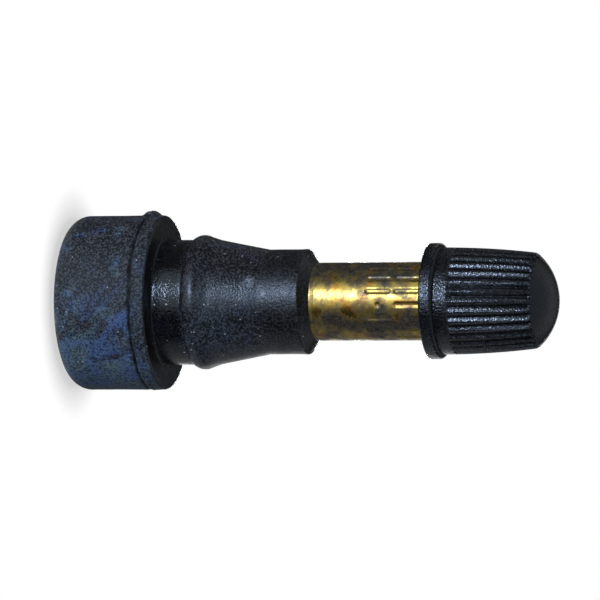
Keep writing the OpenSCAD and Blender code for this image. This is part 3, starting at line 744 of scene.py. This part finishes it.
cap = {
    "lowZ": 36.66, "boreR": 3.955, "lead": 0.5, "flangeR": 5.73, "edgeRound": 0.2, "edgeRows": 5,
    "flangeTopZ": 37.64, "flangeRound": 0.42, "flangeTurnDeg": 84, "flangeRows": 9,
    "bodyZ": 38.12, "bodyR": 5.29, "tipR": 4.755, "swell": 0.12, "plainRows": 4,
    "seamDepth": 0.03, "seamLow": 0.05, "seamHigh": 0.02, "seamEnd": 0.12,
    "domeZ": 47.35, "domeHeight": 2.2, "domeRows": 34, "outsideR": 4.1, "outsideZ": 47.85,
    "pocketZ": 46.68, "pocketR": 3.405, "ceilingZ": 47.83,
    "threadTopZ": 46.2, "threadDepth": 0.4, "threadFade": 0.6, "threadRows": 8,
    "flutes": 32, "fluteZ": 39.3, "fluteDepth": 0.21, "fluteTopDepth": 0.28, "fluteFloor": 0.14,
    "flankDeg": 28, "turnDeg": 6.5, "rimBlend": 0.04, "fluteRows": 18, "runInRows": (0.06, 0.12, 0.18, 0.26),
    "runInFrom": 0.02, "runInTo": 0.2, "columnsDeg": (0, 0.75, 1.9, 3.2, 4.3, 4.85, 5.625), "sharpDeg": 28,
}


def capSide(z):
    t = (z - cap["bodyZ"]) / (cap["domeZ"] - cap["bodyZ"])
    return cap["bodyR"] + (cap["tipR"] - cap["bodyR"]) * t + 4 * cap["swell"] * t * (1 - t)


def fluteCut(r, across, z):
    # radius left by a V groove at this distance from its middle, with its rim softened
    t = min(1, max(0, (z - cap["fluteZ"]) / (cap["domeZ"] - cap["fluteZ"])))
    depth = cap["fluteDepth"] + (cap["fluteTopDepth"] - cap["fluteDepth"]) * t * t
    rise = max(0, across - cap["fluteFloor"] / 2) * math.tan(math.radians(cap["flankDeg"]))
    groove = capSide(z) - depth + rise
    blend = cap["rimBlend"]
    soft = max(0, blend - abs(r - groove)) / blend
    return min(r, groove) - soft * soft * blend / 4


def capProfile():
    s = cap
    domeR = (s["tipR"] ** 2 + s["domeHeight"] ** 2) / (2 * s["domeHeight"])
    domeCentre = s["domeZ"] + s["domeHeight"] - domeR
    domeEdge = math.degrees(math.acos(s["tipR"] / domeR))
    inner = [(0, s["ceilingZ"]), (s["pocketR"], s["ceilingZ"]), (s["pocketR"], s["pocketZ"])]
    inner += [(s["boreR"], s["pocketZ"])]
    threaded = [(s["boreR"], s["threadTopZ"]), (s["boreR"], s["lowZ"] + s["lead"])]
    inner += fillIn(threaded, thread["pitch"] / s["threadRows"])
    inner += [(s["boreR"] + s["lead"], s["lowZ"])]
    edgeIn = (s["flangeR"] - s["edgeRound"], s["lowZ"] + s["edgeRound"])
    skin = arcPoints(*edgeIn, s["edgeRound"], -90, 0, s["edgeRows"])
    flangeIn = (s["flangeR"] - s["flangeRound"], s["flangeTopZ"])
    skin += arcPoints(*flangeIn, s["flangeRound"], 0, s["flangeTurnDeg"], s["flangeRows"])
    seamR = s["bodyR"] - s["seamDepth"]
    skin += [(seamR, s["bodyZ"] - s["seamLow"]), (seamR, s["bodyZ"] + s["seamHigh"])]
    plainZ = s["bodyZ"] + s["seamEnd"]
    runInZ = s["fluteZ"] + s["runInRows"][-1]
    levels = [plainZ + (s["fluteZ"] - plainZ) * i / s["plainRows"] for i in range(s["plainRows"] + 1)]
    levels += [s["fluteZ"] + rise for rise in s["runInRows"]]
    levels += [runInZ + (s["domeZ"] - runInZ) * i / s["fluteRows"] for i in range(1, s["fluteRows"] + 1)]
    skin += [(capSide(z), z) for z in levels]
    skin += arcPoints(0, domeCentre, domeR, domeEdge, 90, s["domeRows"])[1:-1]
    return inner + skin + [(0, s["domeZ"] + s["domeHeight"])]


def makeCap():
    s = cap
    perFlute = 2 * (len(s["columnsDeg"]) - 1)
    bm = turnProfile(capProfile(), s["flutes"] * perFlute, False)
    pitch = math.tau / s["flutes"]
    first = math.radians(s["turnDeg"])
    threadLowZ = s["lowZ"] + s["lead"]
    for vert in bm.verts:
        r, angle, z = polar(vert)
        if r < touchGap:
            continue
        # the even columns of the spin are moved to the flute's own
        k = round(angle / (pitch / perFlute))
        column = (k + perFlute // 2) % perFlute - perFlute // 2
        middle = (k - column) / perFlute * pitch + first
        offset = math.copysign(math.radians(s["columnsDeg"][abs(column)]), column)
        angle = middle + offset
        if z > s["fluteZ"] - touchGap and (r > s["outsideR"] or z > s["outsideZ"]):
            start = smoothStep(s["fluteZ"] - s["runInFrom"], s["fluteZ"] + s["runInTo"], z)
            r += (fluteCut(r, abs(offset) * s["bodyR"], z) - r) * start
        elif abs(r - s["boreR"]) < touchGap and threadLowZ <= z <= s["threadTopZ"]:
            fill = threadCut(angle, z, thread["pitch"]) * s["threadDepth"]
            fill *= smoothStep(threadLowZ, threadLowZ + s["threadFade"], z)
            fill *= 1 - smoothStep(s["threadTopZ"] - s["threadFade"], s["threadTopZ"], z)
            r -= fill
        setPolar(vert, r, angle, z)
    finishPiece(bm, "screwCap", "cap", "cap", mouldedNylon, s["sharpDeg"])


mouldedNylon = makeMouldedNylon()
makeCap()


# Finishes of the pieces that keep their CAD shape

finishes = {
    "cap_seal": sealRubber, "core_barrel": coreBrass, "barrel_seal": redSeal,
    "core_spring": springSteel, "core_pin": coreBrass, "plunger_cup": coreBrass, "plunger_seal": sealRubber,
}
for name, material in finishes.items():
    nodes[name].data.materials.clear()
    nodes[name].data.materials.append(material)
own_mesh(nodes["core_spring"])
print("core finished:", len(finishes), "pieces")


# Camera

shot = {
    "tiltDeg": 14.25, "rollDeg": 0.3, "azimuthDeg": 45, "distance": 475, "sensor": 36,
    "imagePx": 600, "pxPerMm": 10.07, "axisX": 315.7, "axisY": 301.7, "axisZ": 25,
}


def makeCamera():
    # the stem lies along the picture, so the camera's right is the part's up
    tilt = math.radians(shot["tiltDeg"])
    a = math.radians(shot["azimuthDeg"])
    towards = Vector((math.sin(a), -math.cos(a), 0))
    up = Vector((0, 0, 1))
    back = towards * math.cos(tilt) + up * math.sin(tilt)
    right = up * math.cos(tilt) - towards * math.sin(tilt)
    top = back.cross(right)
    roll = Matrix.Rotation(math.radians(-shot["rollDeg"]), 3, back)
    right, top = roll @ right, roll @ top
    middlePx = shot["imagePx"] / 2
    target = up * shot["axisZ"]
    target -= right * ((shot["axisX"] - middlePx) / shot["pxPerMm"])
    target += top * ((shot["axisY"] - middlePx) / shot["pxPerMm"])
    data = bpy.data.cameras.new("camera")
    data.sensor_width = shot["sensor"]
    data.lens = shot["sensor"] * shot["pxPerMm"] * shot["distance"] / shot["imagePx"]
    camera = addObject("camera", data)
    place = Matrix.Translation((target + back * shot["distance"]) * mm)
    camera.matrix_world = place @ Matrix((right, top, back)).transposed().to_4x4()
    bpy.context.scene.camera = camera
    return towards, up.cross(towards) * -1, back


towards, top, back = makeCamera()
print("camera placed")


# Floor, light and dark cards

studio = {
    "floorSize": 6000, "floorDrop": 0.02, "floorGrey": "#e6e6e6",
    "shadeReach": 3.5, "shadeDark": 0.62, "shadeFrom": 0.4, "shadeSamples": 8,
    "world": 0.1, "skyLow": 0.015, "skyHigh": 0.29, "skyFrom": 0.3, "skyTo": 0.5,
    "lampColour": "#e4ecff", "lowLamps": {"keyLamp": (20, 0.07), "backLamp": (180, 0.045)},
    "lampWide": 36, "lampHigh": 8, "lampAway": 115, "lampZ": 4.5, "aimZ": 25,
    "fillWatts": 0.32, "fillSize": 250, "fillAway": 500, "fillSideDeg": -5,
    "cards": {"upperCard": (57, 180, 0.06), "lowerCard": (-74, -11, 0.02), "lowerGreyCard": (-150, -74, 0.3)},
    "cardNear": 9.4, "cardFar": 500, "cardZ": 0.04, "cardSteps": 24,
}


def startStage(thing, name):
    # an empty material for a piece of the studio
    material = bpy.data.materials.new(name)
    material.use_nodes = True
    material.node_tree.nodes.clear()
    thing.data.materials.append(material)
    return material.node_tree


def makeFloor():
    # white to the camera and in reflections, softly shaded close to the part, and pale grey to other light
    bm = bmesh.new()
    bmesh.ops.create_grid(bm, x_segments=1, y_segments=1, size=studio["floorSize"] / 2 * mm)
    bmesh.ops.translate(bm, verts=bm.verts, vec=(0, 0, -studio["floorDrop"] * mm))
    floor = addMesh("floor", bm)
    tree = startStage(floor, "paleFloor")
    paint = addNode(tree, "ShaderNodeBsdfDiffuse", {"Color": hexColour(studio["floorGrey"])})
    near = addNode(tree, "ShaderNodeAmbientOcclusion", {
        "Distance": studio["shadeReach"] * mm}, samples=studio["shadeSamples"])
    shade = addNode(tree, "ShaderNodeMapRange", {
        "Value": near.outputs["AO"], "From Min": studio["shadeFrom"],
        "To Min": studio["shadeDark"], "To Max": 1.0})
    white = addNode(tree, "ShaderNodeEmission", {"Color": (1, 1, 1, 1), "Strength": shade.outputs["Result"]})
    path = addNode(tree, "ShaderNodeLightPath")
    seen = addNode(tree, "ShaderNodeMath", {
        0: path.outputs["Is Camera Ray"], 1: path.outputs["Is Glossy Ray"]}, operation="MAXIMUM")
    seenAll = addNode(tree, "ShaderNodeMath", {
        0: seen.outputs["Value"], 1: path.outputs["Is Transmission Ray"]}, operation="MAXIMUM")
    mix = addNode(tree, "ShaderNodeMixShader", {
        0: seenAll.outputs["Value"], 1: paint.outputs["BSDF"], 2: white.outputs["Emission"]})
    addNode(tree, "ShaderNodeOutputMaterial", {"Surface": mix.outputs["Shader"]})


def makeLamp(name, place, wide, high, watts):
    data = bpy.data.lights.new(name, "AREA")
    data.shape = "RECTANGLE"
    data.size = wide * mm
    data.size_y = high * mm
    data.energy = watts
    data.color = hexColour(studio["lampColour"])[:3]
    lamp = addObject(name, data)
    lamp.location = place * mm
    lamp.rotation_euler = (place - Vector((0, 0, studio["aimZ"]))).to_track_quat("Z", "Y").to_euler()
    lamp.visible_camera = False


def makeCard(name, startDeg, endDeg, grey):
    # a card on the floor beside the part that only reflections see, as beside a photographed metal piece
    bm = bmesh.new()
    lift = Vector((0, 0, studio["cardZ"]))
    ends = [bm.verts.new((towards * away + lift) * mm) for away in (studio["cardNear"], studio["cardFar"])]
    edge = bm.edges.new(ends)
    bmesh.ops.rotate(bm, verts=ends, cent=(0, 0, 0), matrix=Matrix.Rotation(-math.radians(startDeg), 3, "Z"))
    bmesh.ops.spin(bm, geom=ends + [edge], cent=(0, 0, 0), axis=(0, 0, 1), dvec=(0, 0, 0),
                   angle=-math.radians(endDeg - startDeg), steps=studio["cardSteps"],
                   use_merge=False, use_duplicate=False)
    card = addMesh(name, bm)
    tree = startStage(card, name)
    shade = addNode(tree, "ShaderNodeEmission", {"Color": (1, 1, 1, 1), "Strength": grey})
    addNode(tree, "ShaderNodeOutputMaterial", {"Surface": shade.outputs["Emission"]})
    card.visible_camera = False
    card.visible_diffuse = False
    card.visible_shadow = False
    card.visible_transmission = False


def makeSky():
    # white to the camera, and a dim sky that is paler overhead to reflections
    world = bpy.data.worlds.new("studio")
    world.use_nodes = True
    tree = world.node_tree
    path = addNode(tree, "ShaderNodeLightPath")
    place = addNode(tree, "ShaderNodeTexCoord")
    height = addNode(tree, "ShaderNodeSeparateXYZ", {"Vector": place.outputs["Generated"]})
    glow = addNode(tree, "ShaderNodeMapRange", {
        "Value": height.outputs["Z"], "From Min": studio["skyFrom"], "From Max": studio["skyTo"],
        "To Min": studio["skyLow"], "To Max": studio["skyHigh"]})
    lit = addNode(tree, "ShaderNodeMix", {
        0: path.outputs["Is Glossy Ray"], 2: studio["world"], 3: glow.outputs["Result"]}, data_type="FLOAT")
    seen = addNode(tree, "ShaderNodeMath", {
        0: path.outputs["Is Camera Ray"], 1: path.outputs["Is Transmission Ray"]}, operation="MAXIMUM")
    strength = addNode(tree, "ShaderNodeMix", {
        0: seen.outputs["Value"], 2: lit.outputs[0], 3: 1.0}, data_type="FLOAT")
    background = tree.nodes["Background"]
    background.inputs["Color"].default_value = (1, 1, 1, 1)
    tree.links.new(strength.outputs[0], background.inputs["Strength"])
    bpy.context.scene.world = world


makeFloor()
for name, (sideDeg, watts) in studio["lowLamps"].items():
    side = math.radians(sideDeg)
    place = (towards * math.cos(side) + top * math.sin(side)) * studio["lampAway"]
    makeLamp(name, place + Vector((0, 0, studio["lampZ"])), studio["lampWide"], studio["lampHigh"], watts)
fillSide = math.radians(studio["fillSideDeg"])
fillPlace = (back * math.cos(fillSide) - top * math.sin(fillSide)) * studio["fillAway"]
makeLamp("fillLamp", fillPlace, studio["fillSize"], studio["fillSize"], studio["fillWatts"])
for name, (startDeg, endDeg, grey) in studio["cards"].items():
    makeCard(name, startDeg, endDeg, grey)
makeSky()
bpy.context.scene.view_settings.view_transform = "Standard"
print("studio set")
